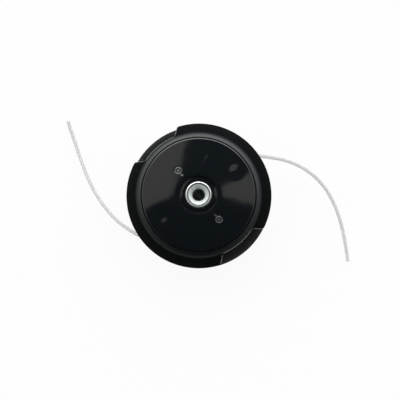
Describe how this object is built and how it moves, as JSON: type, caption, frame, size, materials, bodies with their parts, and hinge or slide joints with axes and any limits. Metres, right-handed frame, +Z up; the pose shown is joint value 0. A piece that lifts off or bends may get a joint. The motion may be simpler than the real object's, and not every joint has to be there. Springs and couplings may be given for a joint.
{
  "type": "trimmer head",
  "caption": "Tap-to-feed string trimmer head with a domed black cover, press tabs, a threaded metal drive bush and two cutting lines.",
  "frame": {"origin": "point on the shaft axis at the foot of the bump knob, on the ground", "axes": "+Z up along the shaft, out of the threaded bore; the two lines leave towards +X and -X"},
  "size_m": [0.2124, 0.112, 0.0472],
  "materials": {
    "cover_plastic": "glossy black",
    "case_plastic": "satin black",
    "knob_plastic": "satin black",
    "spool_plastic": "satin black",
    "plated_steel": "bright plated",
    "sintered_steel": "oiled",
    "spring_steel": "drawn",
    "eyelet_metal": "satin",
    "line_nylon": "translucent white"
  },
  "bodies": {
    "housing": {"top_cover": "cover_plastic", "drive_bush": "plated_steel", "bottom_cover": "case_plastic", "line_eyelet_right": "eyelet_metal", "line_eyelet_left": "eyelet_metal", "line_tail_right": "line_nylon", "line_tail_left": "line_nylon"},
    "spring_seat": {"upper_spring_washer": "spring_steel", "spring": "spring_steel"},
    "spool": {"spool": "spool_plastic", "spool_sleeve": "sintered_steel", "lower_spring_washer": "spring_steel", "lower_line_winding": "line_nylon", "upper_line_winding": "line_nylon", "bump_knob": "knob_plastic"}
  },
  "joints": [
    {"name": "spool_turn", "type": "hinge", "parent": "housing", "child": "spring_seat", "pos_m": [0, 0, 0.0395], "axis": [0, 0, 1], "range_deg": [-40, 0]},
    {"name": "bump", "type": "slide", "parent": "spring_seat", "child": "spool", "axis": [0, 0, 1], "range_m": [0, 0.005], "stiffness_N_per_m": 2000, "springref_m": -0.01, "deforming": ["spring"]}
  ]
}
